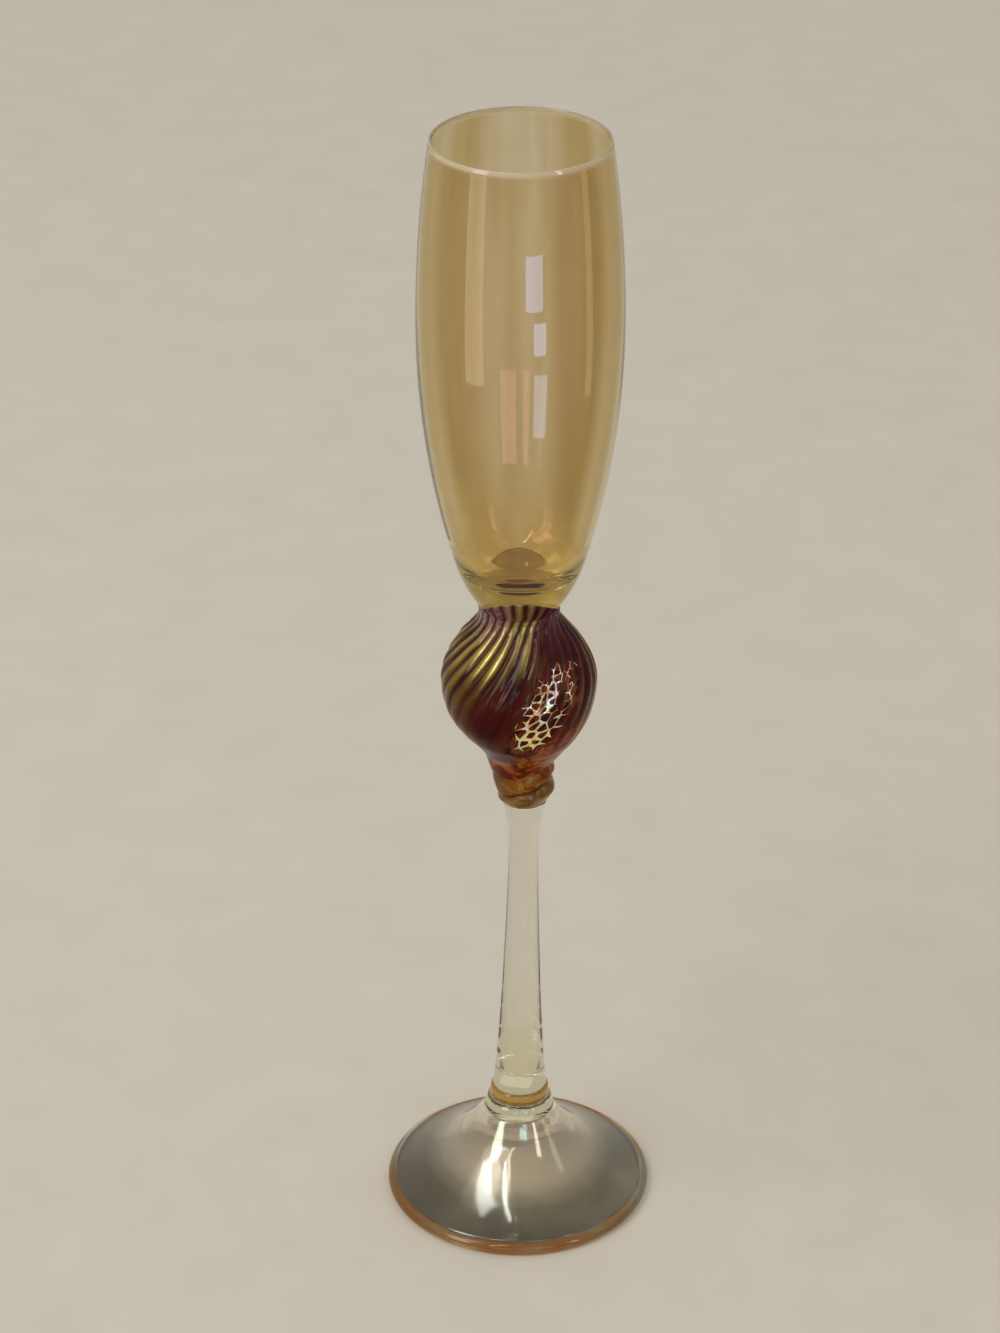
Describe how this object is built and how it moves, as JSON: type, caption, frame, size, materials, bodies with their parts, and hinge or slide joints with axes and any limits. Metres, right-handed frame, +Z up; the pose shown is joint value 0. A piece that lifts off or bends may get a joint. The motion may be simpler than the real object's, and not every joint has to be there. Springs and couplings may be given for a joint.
{
  "type": "champagne flute",
  "caption": "Tall stemmed champagne flute in blown glass, with a slim bowl, a twisted ribbed shell knop, a clear stem and a conical foot.",
  "frame": {"origin": "centre of the foot's resting ring, on the surface that the flute stands on", "axes": "+Z up the flute to the bowl's rim; -Y is the front, which shows the leaf patch on the shell's right"},
  "size_m": [0.0704, 0.0704, 0.3],
  "materials": {
    "bowl_glass": "thin amber lustre glass, clear",
    "pad_glass": "solid gold-amber glass",
    "shell_glass": "dark iridescent lustre glass, ribbed",
    "metal_leaf": "crackled gold leaf fused on glass",
    "fold_glass": "translucent amber-brown lustre glass",
    "clear_glass": "clear warm-white glass",
    "amber_glass": "clear amber glass",
    "foot_glass": "faintly smoky glass with a thin gold lustre",
    "rim_glass": "orange-amber glass thread"
  },
  "bodies": {
    "root": {"bowl": "bowl_glass", "bowl_pad": "pad_glass", "shell_body": "shell_glass", "leaf_patch": "metal_leaf", "shell_fold": "fold_glass", "tail_curl": "fold_glass", "stem": "clear_glass", "amber_ring": "amber_glass", "foot_button": "clear_glass", "foot": "foot_glass", "foot_rim": "rim_glass"}
  },
  "joints": []
}
